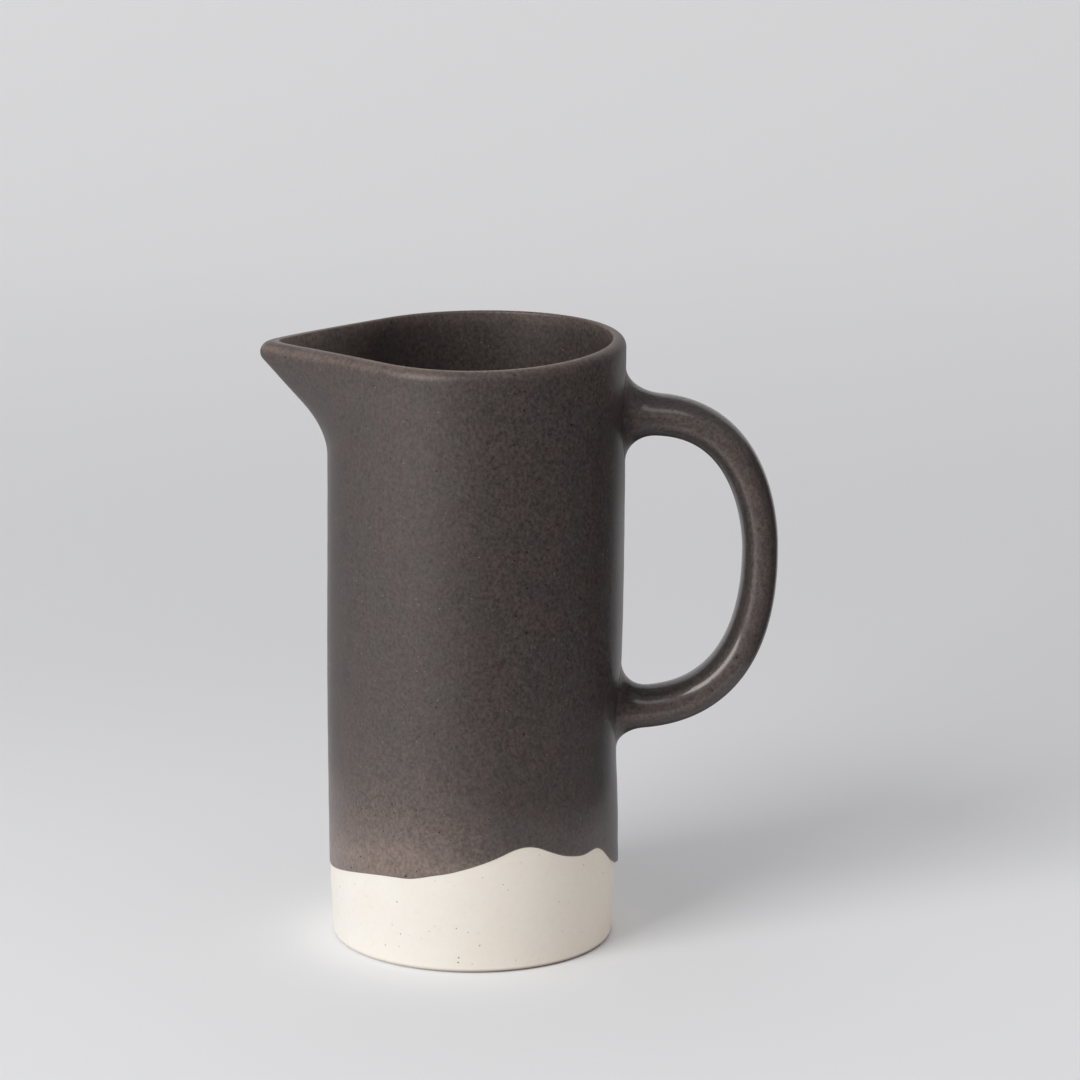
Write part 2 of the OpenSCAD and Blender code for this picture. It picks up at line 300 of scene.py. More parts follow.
    def section(self, turn: Values, start: Values, face: Face, rows: RowCounts) -> tuple[Values, Values]:
        """Runs up the outside, over the lip, down the inside and in along the floor.

        Args:
            turn: Directions, one for each column.
            start: Heights at which the columns start.
            face: The face to follow.
            rows: How many rows each stretch has.

        Returns:
            Radii and heights, by row and by column.
        """
        skin = face.value * self.glaze
        lip = self.rim_shoulder + (self.tip_round - self.rim_shoulder) * self.tip_share(turn)
        out_lean = self.lean(self.outside, turn, self.height - lip)
        in_lean = self.lean(self.inside, turn, np.full_like(turn, self.height - self.rim_edge))
        out_z = self.height - lip * (1.0 + np.sin(out_lean))
        in_z = self.height - self.rim_edge * (1.0 - np.sin(in_lean))
        out_middle = self.outside(turn, out_z) - lip * np.cos(out_lean)
        in_middle = self.inside(turn, in_z) + self.rim_edge * np.cos(in_lean)

        wall_z = start + (out_z - start) * np.linspace(0.0, 1.0, rows.wall)[:, None]
        wall = self.outside(turn, wall_z) - skin / np.cos(self.lean(self.outside, turn, wall_z))

        over = np.linspace(0.0, 1.0, rows.lip + 1)[1:, None]
        out_arc = -out_lean + (np.pi / 2.0 + out_lean) * over
        in_arc = np.pi / 2.0 + (np.pi / 2.0 - in_lean) * over
        lip_out = out_middle + (lip - skin) * np.cos(out_arc)
        lip_out_z = self.height - lip + (lip - skin) * np.sin(out_arc)
        lip_in = in_middle + (self.rim_edge - skin) * np.cos(in_arc)
        lip_in_z = self.height - self.rim_edge + (self.rim_edge - skin) * np.sin(in_arc)

        corner_z = self.floor_height + self.floor_corner
        bore_z = in_z + (corner_z - in_z) * np.linspace(0.0, 1.0, rows.bore + 1)[1:, None]
        bore = self.inside(turn, bore_z) + skin / np.cos(self.lean(self.inside, turn, bore_z))

        corner_arc = np.pi / 2.0 * np.linspace(0.0, 1.0, rows.corner + 1)[1:, None]
        corner_middle = self.inside(turn, np.full_like(turn, corner_z)) - self.floor_corner
        corner_round = self.floor_corner + skin
        corner = corner_middle + corner_round * np.cos(corner_arc)
        corner_heights = corner_z - corner_round * np.sin(corner_arc) + 0.0 * turn

        floor = corner_middle * np.linspace(1.0, 0.0, rows.floor + 2)[1:-1, None]
        rings = self.floor_ripple * np.sin(2.0 * np.pi * floor / self.floor_ripple_pitch)
        floor_z = self.floor_height - skin + rings * smooth((corner_middle - floor) / self.floor_corner)
        radii = np.concatenate([wall, lip_out, lip_in, bore, corner, floor])
        heights = np.concatenate([wall_z, lip_out_z, lip_in_z, bore_z, corner_heights, floor_z])
        return radii, heights

    def place(self, turn: Values, radius: Values, z: Values) -> Values:
        """Turns radii and heights into places, with the rim's slope towards the spout and its sag between.

        Args:
            turn: Directions.
            radius: Radii.
            z: Heights.

        Returns:
            Places, with the axis last.
        """
        x = -radius * np.cos(turn)
        y = -radius * np.sin(turn)
        sloped = smooth((z - self.slope_start) / (self.height - self.slope_start))
        aside = np.sin(turn)
        sag = np.where(aside > 0, self.front_sag, self.back_sag) * aside**2
        return np.stack([x, y, z + (self.rim_slope * x + self.rim_lift - sag) * sloped], axis=-1)


@dataclass(frozen=True)
class FootForm:
    """Shape of the bare clay foot, which was turned a little off the middle of the glazed wall."""

    form: JugForm
    radius: float = 0.0461
    flare: float = 0.0011
    flare_height: float = 0.028
    off_centre: float = 0.00045
    thin_coat: float = 0.00035
    edge_round: float = 0.0013
    blend_start: float = 0.045
    blend_end: float = 0.075

    def outside(self, turn: Values, z: Values) -> Values:
        """Works out the outside of the clay, from the bare foot up to where it carries the full glaze.

        Args:
            turn: Directions.
            z: Heights.

        Returns:
            Radii.
        """
        turned = self.radius + self.flare * smooth(z / self.flare_height) + self.off_centre * np.cos(turn)
        glazed = self.form.outside(turn, z)
        turned = np.minimum(turned, glazed - self.thin_coat)
        coated = glazed - self.form.glaze
        blend = smooth((z - self.blend_start) / (self.blend_end - self.blend_start))
        return turned + (coated - turned) * blend


@dataclass(frozen=True)
class DipWave:
    """One raised wave of the dip line: where its crest is, how far it runs either side, and its height."""

    crest: float
    half_width: float
    height: float

    def rise(self, turn: Values) -> Values:
        """Gives the wave's rise in each direction."""
        run = np.clip(np.abs(wrapped(turn - self.crest)) / self.half_width, 0.0, 1.0)
        return self.height * np.cos(np.pi / 2.0 * run) ** 2


@dataclass(frozen=True)
class DipLine:
    """Wavy line at which the glaze stops, where the jug was dipped upside down."""

    low: float = 0.0217
    waves: tuple[DipWave, ...] = (
        DipWave(math.radians(95.3), math.radians(143.5), 0.0070),
        DipWave(math.radians(54.1), math.radians(52.7), 0.0030),
        DipWave(math.radians(81.0), math.radians(21.2), 0.00345),
        DipWave(math.radians(110.1), math.radians(35.0), 0.0135),
        DipWave(math.radians(131.3), math.radians(13.8), 0.00228),
        DipWave(math.radians(153.2), math.radians(28.7), 0.01203),
        DipWave(math.radians(160.4), math.radians(19.9), -0.00685),
        DipWave(math.radians(176.5), math.radians(12.0), -0.00107),
        DipWave(math.radians(-120.0), math.radians(60.0), 0.007),
        DipWave(math.radians(-38.0), math.radians(45.0), 0.0045),
    )

    def height(self, turn: Values) -> Values:
        """Gives the line's height in each direction."""
        return self.low + sum(wave.rise(turn) for wave in self.waves)


class JugPiece:
    """A piece of the jug, which is built and then dressed."""

    def build(self) -> bpy.types.Object:
        """Makes the piece."""
        raise NotImplementedError

    def dress(self, piece: bpy.types.Object, material: bpy.types.Material) -> None:
        """Gives the built piece its only material."""
        piece.data.materials.clear()
        piece.data.materials.append(material)


@dataclass
class StonewareBody(JugPiece):
    """The thrown clay with its turned foot, foot ring and recess. It stands for the body and the spout."""

    form: JugForm
    foot: FootForm
    columns: int = 288
    ridge_share: float = 0.4
    ring_width: float = 0.009
    recess: float = 0.0015
    recess_slope: float = 0.0012
    recess_rows: int = 10
    ring_rows: int = 5
    edge_rows: int = 7
    bare_rows: int = 60
    bare_top: float = 0.062
    rows: RowCounts = RowCounts(wall=36, lip=6, bore=36, corner=6, floor=6)

    def underside(self, turn: Values) -> tuple[Values, Values]:
        """Runs out along the recess, down on to the foot ring and round the foot's edge.

        Args:
            turn: Directions, one for each column.

        Returns:
            Radii and heights, by row and by column.
        """
        outer = self.foot.outside(turn, np.full_like(turn, self.foot.edge_round))
        contact = outer - self.foot.edge_round
        ring = contact - self.ring_width
        share = np.linspace(0.0, 1.0, self.recess_rows + 1)[1:, None]
        recess = (ring - self.recess_slope) * share
        recess_z = np.full_like(recess, self.recess)
        flat = ring + self.ring_width * np.linspace(0.0, 1.0, self.ring_rows)[:, None]
        arc = np.pi / 2.0 * np.linspace(0.0, 1.0, self.edge_rows + 1)[1:, None]
        edge = contact + self.foot.edge_round * np.sin(arc)
        edge_z = self.foot.edge_round * (1.0 - np.cos(arc)) + 0.0 * turn
        return np.concatenate([recess, flat, edge]), np.concatenate([recess_z, np.zeros_like(flat), edge_z])

    def build(self) -> bpy.types.Object:
        """Makes the clay's mesh and fixes it to the part.

        Returns:
            The clay, from the middle of the recess to the middle of the floor.
        """
        turn = self.form.columns(self.columns, self.ridge_share)
        under, under_z = self.underside(turn)
        rise = np.linspace(0.0, 1.0, self.bare_rows + 2)[1:-1, None]
        bare_z = self.foot.edge_round + (self.bare_top - self.foot.edge_round) * rise + 0.0 * turn
        bare = self.foot.outside(turn, bare_z)
        upper, upper_z = self.form.section(turn, np.full_like(turn, self.bare_top), Face.CLAY, self.rows)
        wall = slice(0, self.rows.wall)
        upper[wall] = np.minimum(upper[wall], self.foot.outside(turn, upper_z[wall]))
        radius = np.concatenate([under, bare, upper])
        z = np.concatenate([under_z, bare_z, upper_z])
        piece = ring_mesh("stoneware_body", self.form.place(turn, radius, z), {})
        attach(piece, "root")
        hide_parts("body", "spout")
        return piece


@dataclass
class GlazeCoat(JugPiece):
    """The coat over the outside, the spout and the inside, with a soft edge along the dip line."""

    form: JugForm
    foot: FootForm
    dip: DipLine
    columns: int = 320
    ridge_share: float = 0.37
    edge_rows: int = 7
    edge_height: float = 0.0009
    edge_thin: float = 0.00035
    edge_thick: float = 0.0011
    thick_turn: float = math.radians(180.0)
    thick_spread: float = math.radians(14.0)
    swell: float = 0.008
    buried: float = 0.0003
    hidden_step: int = 4
    thin_run: float = 0.015
    thin_most: float = 1.6
    thin_turn: float = math.radians(20.0)
    thin_end: float = math.radians(90.0)
    thin_fade: float = math.radians(55.0)
    fringe_thin: float = 0.35
    fringe_run: float = 0.0005
    # Painted shade on the wall in two bands either side of the handle.
    beside_turn: float = math.radians(26.0)
    beside_spread: float = math.radians(9.0)
    beside_shade: float = 0.5
    beside_low: float = 0.04
    beside_high: float = 0.19
    beside_fade: float = 0.02
    dull_spread: float = math.radians(28.0)
    dull_low: float = 0.135
    dull_high: float = 0.165
    # Paler crest and inner edge of the lip: partly glaze running thin, partly a painted highlight.
    crest_thin_and_highlight: float = 0.42
    crest_band: float = 0.0007
    inner_band: float = 0.0022
    break_thin_and_highlight: float = 0.6
    break_band: float = 0.00012
    # Painted light: paler glaze inside the spout's channel near the rim.
    channel_painted_light: float = 0.4
    channel_band: float = 0.008
    # Painted sheen: a paler band on the outer shoulder of the lip round the spout, strongest at the tip.
    shoulder_sheen: float = 0.42
    shoulder_sheen_at_tip: float = 0.3
    shoulder_depth: float = 0.0016
    shoulder_band: float = 0.0009
    shoulder_end: float = math.radians(85.0)
    shoulder_fade: float = math.radians(18.0)
    gloss: float = 0.25
    dry_band: float = 0.004
    rows: RowCounts = RowCounts(wall=92, lip=9, bore=48, corner=8, floor=9)

    def edge_thickness(self, turn: Values) -> Values:
        """Gives the glaze's thickness along the dip line, fullest under the handle."""
        under_handle = bell(wrapped(turn - self.thick_turn), self.thick_spread)
        return self.edge_thin + (self.edge_thick - self.edge_thin) * under_handle

    def outer_face(self, turn: Values, dip_z: Values) -> tuple[Values, Values]:
        """Runs from the dip line round the edge, up the outside, over the lip and down to the floor.

        Args:
            turn: Directions, one for each column.
            dip_z: Heights of the dip line.

        Returns:
            Radii and heights, by row and by column.
        """
        thickness = self.edge_thickness(turn)
        arc = np.pi / 2.0 * np.linspace(0.0, 1.0, self.edge_rows)[:, None]
        edge_z = dip_z + self.edge_height * (1.0 - np.cos(arc))
        edge = self.foot.outside(turn, edge_z) + thickness * np.sin(arc)
        start = dip_z + self.edge_height
        radius, z = self.form.section(turn, start, Face.GLAZED, self.rows)
        wall = slice(1, self.rows.wall)
        thin = self.foot.outside(turn, z[wall]) + thickness
        radius[wall] = thin + (radius[wall] - thin) * smooth((z[wall] - start) / self.swell)
        return np.concatenate([edge, radius[1:]]), np.concatenate([edge_z, z[1:]])

    def hidden_face(self, turn: Values, dip_z: Values) -> tuple[Values, Values]:
        """Runs back along the clay from the floor to the dip line, in fewer rows.

        Args:
            turn: Directions, one for each column.
            dip_z: Heights of the dip line.

        Returns:
            Radii and heights, by row and by column.
        """
        radius, z = self.form.section(turn, dip_z + self.edge_height, Face.CLAY, self.rows)
        wall = slice(0, self.rows.wall)
        radius[wall] = np.minimum(radius[wall], self.foot.outside(turn, z[wall])) - self.buried
        kept = np.arange(len(radius) - 1, -1, -self.hidden_step)
        kept = np.append(kept[:-1], 0)
        return radius[kept], z[kept]

    def thinness_and_painted_light(self, turn: Values, z: Values, dip_z: Values, inside: Values) -> Values:
        """Works out where the glaze is thin, at the dip line and in part at the lip, where highlights, sheen
        and light are painted on the lip and in the spout, and where shade is painted beside the handle.

        Args:
            turn: Directions, one for each column.
            z: Heights, by row and by column.
            dip_z: Heights of the dip line.
            inside: Which rows are inside the jug.

        Returns:
            Thinness, with the painted highlights and light, up to 1, and below 0 where shade is painted.
        """
        aside = np.abs(wrapped(turn - self.thin_turn))
        facing = self.thin_most * smooth((self.thin_end - aside) / self.thin_fade)
        above_dip = np.maximum(z - dip_z, 0.0)
        near_dip = facing * np.exp(-above_dip / self.thin_run)
        near_dip += self.fringe_thin * np.exp(-above_dip / self.fringe_run)
        depth = self.form.height - z
        # Crest of the lip: partly thin glaze, partly painted highlight; the sharp break line is painted on
        # the front half alone.
        on_crest = self.crest_thin_and_highlight * bell(depth, np.where(inside, self.inner_band, self.crest_band))
        on_crest += self.break_thin_and_highlight * bell(depth, self.break_band) * smooth(np.sin(turn))
        tip = self.form.tip_share(turn)
        on_crest *= np.where(inside, 1.0, 1.0 - tip)
        # Painted sheen on the lip's outer shoulder round the spout.
        near_spout = smooth((self.shoulder_end - np.abs(wrapped(turn))) / self.shoulder_fade)
        shoulder = (self.shoulder_sheen + self.shoulder_sheen_at_tip * tip) * near_spout * ~inside
        on_lip = shoulder * bell(depth - self.shoulder_depth, self.shoulder_band)
        # Painted light inside the spout's channel, towards the tip.
        on_lip += self.channel_painted_light * tip * bell(depth, self.channel_band) * inside
        # Painted shade beside the handle, on the outside alone, goes below 0.
        return np.clip(near_dip + on_crest + on_lip, 0.0, 1.0) - self.painted_shade_beside_handle(turn, z) * ~inside

    def painted_shade_beside_handle(self, turn: Values, z: Values) -> Values:
        """Works out the painted shade on the wall beside the handle.

        Args:
            turn: Directions.
            z: Heights.

        Returns:
            Painted shade from 0 to 1.
        """
        from_handle = np.abs(wrapped(turn - np.pi))
        upward = smooth((z - self.beside_low) / self.beside_fade)
        upward = upward * smooth((self.beside_high - z) / self.beside_fade)
        return self.beside_shade * bell(from_handle - self.beside_turn, self.beside_spread) * upward

    def shine(self, turn: Values, z: Values) -> Values:
        """Works out how glossy the glaze is: dry at the rim, but not at the tip, and dull under the handle.

        Args:
            turn: Directions, one for each column.
            z: Heights, by row and by column.

        Returns:
            Gloss from 0 to 1.
        """
        tip = self.form.tip_share(turn)
        dry = (1.0 - tip) * bell(self.form.height - z, self.dry_band)
        under_joint = smooth((z - self.dull_low) / (self.dull_high - self.dull_low))
        dull = under_joint * bell(wrapped(turn - np.pi), self.dull_spread)
        return self.gloss * (1.0 - dry) * (1.0 - dull)

    def build(self) -> bpy.types.Object:
        """Makes the coat's mesh and fixes it to the part.

        Returns:
            The coat, with the marks that its finish reads.
        """
        turn = self.form.columns(self.columns, self.ridge_share)
        dip_z = self.dip.height(turn)
        hidden, hidden_z = self.hidden_face(turn, dip_z)
        outer, outer_z = self.outer_face(turn, dip_z)
        radius = np.concatenate([hidden, outer])
        z = np.concatenate([hidden_z, outer_z])
        first_inside = len(hidden) + self.edge_rows + self.rows.wall - 1 + self.rows.lip
        inside = (np.arange(len(radius)) >= first_inside)[:, None]
        marks = {"thinness_and_painted_light": self.thinness_and_painted_light(turn, z, dip_z, inside), "gloss": self.shine(turn, z)}
        piece = ring_mesh("glaze_coat", self.form.place(turn, radius, z), marks)
        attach(piece, "root")
        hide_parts("wall_glaze", "spout_glaze", "liner_glaze")
        return piece


class Half(Enum):
    """The two halves of the handle, by the sign of their outward side."""

    UPPER = 1
    LOWER = -1


@dataclass(frozen=True)
class HandleEnd:
    """How one end of the handle leaves the wall and bends, and the fillets of its joint."""

    half: Half
    tilt: float
    arm_share: float
    bend_share: float
    fillet_out: float
    fillet_in: float
    run_out: float
    run_in: float


@dataclass(frozen=True)
class HandleLine:
    """Centre line of one half of the handle, from its root on the wall to the grip."""

    end: HandleEnd
    root: tuple[float, float]
    grip: tuple[float, float]
    arm: float

    def knots(self) -> Values:
        """Works out the four points that steer the curve.

        Returns:
            The root, the end of the arm, the bend and the grip.
        """
        root = np.array(self.root)
        grip = np.array(self.grip)
        arm_end = root + self.arm * np.array([math.cos(self.end.tilt), math.sin(self.end.tilt)])
        bend = np.array([grip[0], grip[1] + self.end.bend_share * (root[1] - grip[1])])
        return np.stack([root, arm_end, bend, grip])

    def point(self, t: Values) -> Values:
        """Works out points on the curve.

        Args:
            t: Places along it, from 0 to 1.

        Returns:
            Points, as distance from the axis and height.
        """
        p = self.knots()
        t = t[..., None]
        return (1 - t) ** 3 * p[0] + 3 * (1 - t) ** 2 * t * p[1] + 3 * (1 - t) * t**2 * p[2] + t**3 * p[3]

    def outward(self, t: Values) -> Values:
        """Works out the direction away from the loop at points on the curve.

        Args:
            t: Places along it, from 0 to 1.

        Returns:
            Directions of length 1.
        """
        p = self.knots()
        t = t[..., None]
        slope = (1 - t) ** 2 * (p[1] - p[0]) + 2 * (1 - t) * t * (p[2] - p[1]) + t**2 * (p[3] - p[2])
        slope *= self.end.half.value / np.linalg.norm(slope, axis=-1, keepdims=True)
        return np.stack([-slope[..., 1], slope[..., 0]], axis=-1)

    def share_at(self, length: Values) -> Values:
        """Gives the places on the curve at short lengths from its root."""
        p = self.knots()
        return length / (3.0 * float(np.linalg.norm(p[1] - p[0])))


@dataclass
class HandleCoat(JugPiece):
    """The glazed loop handle with the hollow fillets that bed its ends on the wall."""

    form: JugForm
    wall_coat: GlazeCoat
    upper_end: HandleEnd = HandleEnd(
        Half.UPPER,
        tilt=math.radians(9.4),
        arm_share=0.99,
        bend_share=0.11,
        fillet_out=0.0095,
        fillet_in=0.0076,
        run_out=0.0136,
        run_in=0.012,
    )
    lower_end: HandleEnd = HandleEnd(
        Half.LOWER,
        tilt=math.radians(-4.2),
        arm_share=1.06,
        bend_share=0.15,
        fillet_out=0.0066,
        fillet_in=0.0088,
        run_out=0.0085,
        run_in=0.0118,
    )
    upper_drop: float = 0.0257
    span: float = 0.0976
    grip_drop: float = 0.0438
    reach: float = 0.0449
    grip_width: float = 0.0162
    grip_thickness: float = 0.0118
    root_width: float = 0.018
    root_thickness: float = 0.0142
    face_power: float = 1.06
    # Paler ridges at the front and back: partly glaze running thin, partly a painted highlight.
    ridge_thin_and_highlight: float = 0.28
    face_thick: float = 0.3
    # Painted shade on the undersides, and painted shadow on top of the lower arm next to the wall.
    under_painted_shade: float = 0.7
    crease_painted_shadow: float = 0.5
    crease_reach: float = 0.026
    side_run: float = 0.0085
    side_fillet: float = 0.0024
    skirt: float = 0.0008
    slope_step: float = 0.001
    gloss: float = 0.9
    dry_share: float = 0.95
    dry_reach: float = 0.005
    dry_lead: float = 0.15
    merge_reach: float = 0.004
    sides: int = 80
    half_rings: int = 44
    fillet_rings: int = 12

    def lines(self) -> tuple[HandleLine, HandleLine]:
        """Works out the two halves of the centre line from the handle's sizes.

        Returns:
            The upper half and the lower half.
        """
        upper_z = self.form.height - self.upper_drop
        lower_z = upper_z - self.span
        grip_z = upper_z - self.grip_drop
        grip = (float(self.form.wall_radius(grip_z)) + self.reach, grip_z)
        upper_root = (float(self.form.wall_radius(upper_z)) - self.form.glaze, upper_z)
        lower_root = (float(self.form.wall_radius(lower_z)) - self.form.glaze, lower_z)
        upper = HandleLine(self.upper_end, upper_root, grip, self.upper_end.arm_share * self.reach)
        lower = HandleLine(self.lower_end, lower_root, grip, self.lower_end.arm_share * self.reach)
        return upper, lower

    def oval(self) -> tuple[Values, Values]:
        """Works out the handle's rounded section.

        Returns:
            Shares of its half width and of its half thickness, by side.
        """
        angle = 2.0 * np.pi * (np.arange(self.sides) + 0.5) / self.sides
        through = np.sign(np.sin(angle)) * np.abs(np.sin(angle)) ** self.face_power
        return np.cos(angle), through

    def rings(self, line: HandleLine, t: Values) -> Values:
        """Sweeps the section along one half.

        Args:
            line: Centre line of the half.
            t: Places along it, by ring and by side.

        Returns:
            Places by ring, by side and by axis.
        """
        across, through = self.oval()
        middle = line.point(t)
        outward = line.outward(t)
        rooted = (1.0 - t) ** 2
        half_thickness = (self.grip_thickness + (self.root_thickness - self.grip_thickness) * rooted) / 2.0
        half_width = (self.grip_width + (self.root_width - self.grip_width) * rooted) / 2.0
        x = middle[..., 0] + outward[..., 0] * half_thickness * through
        z = middle[..., 1] + outward[..., 1] * half_thickness * through
        return np.stack([x, half_width * across, z], axis=-1)

    def to_wall(self, points: Values) -> Values:
        """Counts places from the wall.

        Args:
            points: Places, with the axis last.

        Returns:
            Angle from the handle, height, and distance out from the wall, in the place of the axes.
        """
        angle = np.arctan2(points[..., 1], points[..., 0])
        z = points[..., 2]
        out = np.hypot(points[..., 0], points[..., 1]) - self.form.outside(angle + np.pi, z)
        return np.stack([angle, z, out], axis=-1)

    def from_wall(self, wall: Values) -> Values:
        """Turns points counted from the wall back into places.

        Args:
            wall: Angle from the handle, height, and distance out from the wall.

        Returns:
            Places, with the axis last.
        """
        angle = wall[..., 0]
        z = wall[..., 1]
        radius = self.form.outside(angle + np.pi, z) + wall[..., 2]
        return np.stack([radius * np.cos(angle), radius * np.sin(angle), z], axis=-1)

    def joint_size(self, side: float, outer: float, inner: float) -> Values:
        """Spreads a size of a joint round the section, from its flanks to its outer and inner sides."""
        through = self.oval()[1]
        return side + (np.where(through > 0, outer, inner) - side) * through**2

    def joint_ends(self, line: HandleLine) -> Values:
        """Gives the places along the centre line where a joint's fillet ends, by side."""
        return line.share_at(self.joint_size(self.side_run, line.end.run_out, line.end.run_in))

    def joint(self, line: HandleLine) -> Values:
        """Runs the handle's end out over the wall in a hollow fillet.

        Args:
            line: Centre line of the half whose root is bedded.

        Returns:
            Rings from a skirt just inside the wall to the end of the fillet on the handle.
        """
        across, through = self.oval()
        ends = self.joint_ends(line)
        end, beyond = self.to_wall(self.rings(line, np.stack([ends, ends + self.slope_step])))
        slope = beyond - end
        corner = end - slope * (end[:, 2:] / slope[:, 2:])
        fillet = self.joint_size(self.side_fillet, line.end.fillet_out, line.end.fillet_in)
        angle = (self.root_width / 2.0 + fillet) * across / self.form.wall_radius(line.root[1])
        up = line.end.half.value * math.cos(line.end.tilt)
        z = line.root[1] + up * (self.root_thickness / 2.0 + fillet) * through
        foot = np.stack([angle, z, np.zeros_like(z)], axis=-1)
        arc = np.pi / 2.0 * np.linspace(1.0, 0.0, self.fillet_rings + 1)[:-1, None, None]
        curved = corner + (end - corner) * (1.0 - np.sin(arc)) + (foot - corner) * (1.0 - np.cos(arc))
        sunk = foot - np.array([0.0, 0.0, self.skirt])
        return self.from_wall(np.concatenate([sunk[None], curved]))

    def marks(self, points: Values) -> dict[str, Values]:
        """Works out the glaze's marks, which run into the wall's own at the joints.

        The glaze is thin along the ridges, partly as a painted highlight, thick on the faces and drier on
        the undersides; painted shade darkens the undersides and the top of the lower arm next to the wall.

        Args:
            points: Places by ring, by side and by axis.

        Returns:
            The marks by ring and by side.
        """
        across, through = self.oval()
        z = points[..., 2]
        middle_z = z.mean(axis=1, keepdims=True)
        below = smooth((middle_z - z) / (self.root_thickness / 2.0))
        above = smooth((z - middle_z) / (self.root_thickness / 2.0))
        near_root = smooth(1.0 - (points[..., 0] - self.form.rim_radius) / self.crease_reach)
        on_lower_arm = middle_z < self.form.height - self.upper_drop - self.grip_drop
        # Painted shade: darker undersides, and a darker top of the lower arm where the wall shades it.
        painted_shade_and_thick_glaze = self.under_painted_shade * below + self.crease_painted_shadow * above * near_root * on_lower_arm
        dry_start = middle_z + self.dry_lead * np.ptp(z, axis=1, keepdims=True)
        # Ridges paler, partly as painted highlight; faces thicker; painted shade taken off.
        thinness_and_painted_light = self.ridge_thin_and_highlight * across**2 - self.face_thick * through**2 - painted_shade_and_thick_glaze
        gloss = self.gloss * (1.0 - self.dry_share * smooth((dry_start - z) / self.dry_reach))
        wall = self.to_wall(points)
        turn = wall[..., 0] + np.pi
        # Painted shade of the wall beside the handle, which the joints run into.
        wall_painted_shade = -self.wall_coat.painted_shade_beside_handle(turn, z)
        wall_gloss = self.wall_coat.shine(turn, z)
        clear = smooth(wall[..., 2] / self.merge_reach)
        return {
            "thinness_and_painted_light": wall_painted_shade + (thinness_and_painted_light - wall_painted_shade) * clear,
            "gloss": wall_gloss + (gloss - wall_gloss) * clear,
        }

    def build(self) -> bpy.types.Object:
        """Makes the handle's mesh and fixes it to the part.

        Returns:
            The loop with both its joints, with the marks that its finish reads.
        """
        upper, lower = self.lines()
        places = np.linspace(0.0, 1.0, self.half_rings)[:, None]
        upper_start = self.joint_ends(upper)
        lower_start = self.joint_ends(lower)
        upper_rings = self.rings(upper, upper_start + (1.0 - upper_start) * places)
        lower_rings = self.rings(lower, lower_start + (1.0 - lower_start) * places[:-1])
        points = np.concatenate([self.joint(upper), upper_rings, lower_rings[::-1], self.joint(lower)[::-1]])
        piece = ring_mesh("handle_coat", points, self.marks(points))
        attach(piece, "root")
        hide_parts("handle_glaze", "upper_handle_joint", "lower_handle_joint")
        return piece


class HandleCore(JugPiece):
    """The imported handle, which stays as it is under its coat."""

    def build(self) -> bpy.types.Object:
        """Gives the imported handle."""
        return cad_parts["handle"]


class Graph:
    """Short calls that place and join the nodes of one tree."""

    # Numbers of the sockets of a node that mixes colours
    MIX_SHARE = 0
    MIX_FIRST = 6
    MIX_SECOND = 7
    MIX_RESULT = 2

    def __init__(self, tree: bpy.types.NodeTree) -> None:
        """Starts on a tree."""
        self.tree = tree

    def node(
        self, kind: str, feeds: dict[str | int, Feed] | None = None, **settings: object
    ) -> bpy.types.Node:
        """Adds a node.

        Args:
            kind: Type of the node.
            feeds: What goes into its inputs: an output of another node, or a constant.
            settings: Other values to set on it.

        Returns:
            The new node.
        """
        made = self.tree.nodes.new(kind)
        for name, value in settings.items():
            setattr(made, name, value)
        for name, value in (feeds or {}).items():
            self.feed(made.inputs[name], value)
        return made

    def feed(self, target: Socket, value: Feed) -> None:
        """Links an output to an input, or sets a constant on it.

        Args:
            target: The input.
            value: The output or the constant.
        """
        if isinstance(value, Socket):
            self.tree.links.new(value, target)
        elif isinstance(value, tuple) and len(value) == 3 and target.type == "RGBA":
            target.default_value = (*value, 1.0)
        else:
            target.default_value = value

    def math(self, operation: str, first: Feed, second: Feed) -> Socket:
        """Works out one operation on two values."""
        return self.node("ShaderNodeMath", {0: first, 1: second}, operation=operation).outputs[0]

    def scaled(self, value: Feed, share: Feed) -> Socket:
        """Multiplies a colour or a place by a share."""
        return self.node("ShaderNodeVectorMath", {0: value, "Scale": share}, operation="SCALE").outputs[0]

    def ramp(self, value: Feed, low: Feed, high: Feed, start: Feed = 0.0, end: Feed = 1.0) -> Socket:
        """Eases from start to end as a value goes from low to high."""
        feeds = {"Value": value, "From Min": low, "From Max": high, "To Min": start, "To Max": end}
        return self.node("ShaderNodeMapRange", feeds, interpolation_type="SMOOTHSTEP").outputs["Result"]

    def mix(self, share: Feed, first: Feed, second: Feed) -> Socket:
        """Mixes two colours."""
        feeds = {self.MIX_SHARE: share, self.MIX_FIRST: first, self.MIX_SECOND: second}
        return self.node("ShaderNodeMix", feeds, data_type="RGBA").outputs[self.MIX_RESULT]

    def mark(self, name: str) -> Socket:
        """Reads a mark of the mesh."""
        return self.node("ShaderNodeAttribute", attribute_name=name).outputs["Fac"]


NewGroup = tuple[Graph, bpy.types.Node, bpy.types.Node]
NewMaterial = tuple[Graph, bpy.types.Material, bpy.types.Node, Socket]


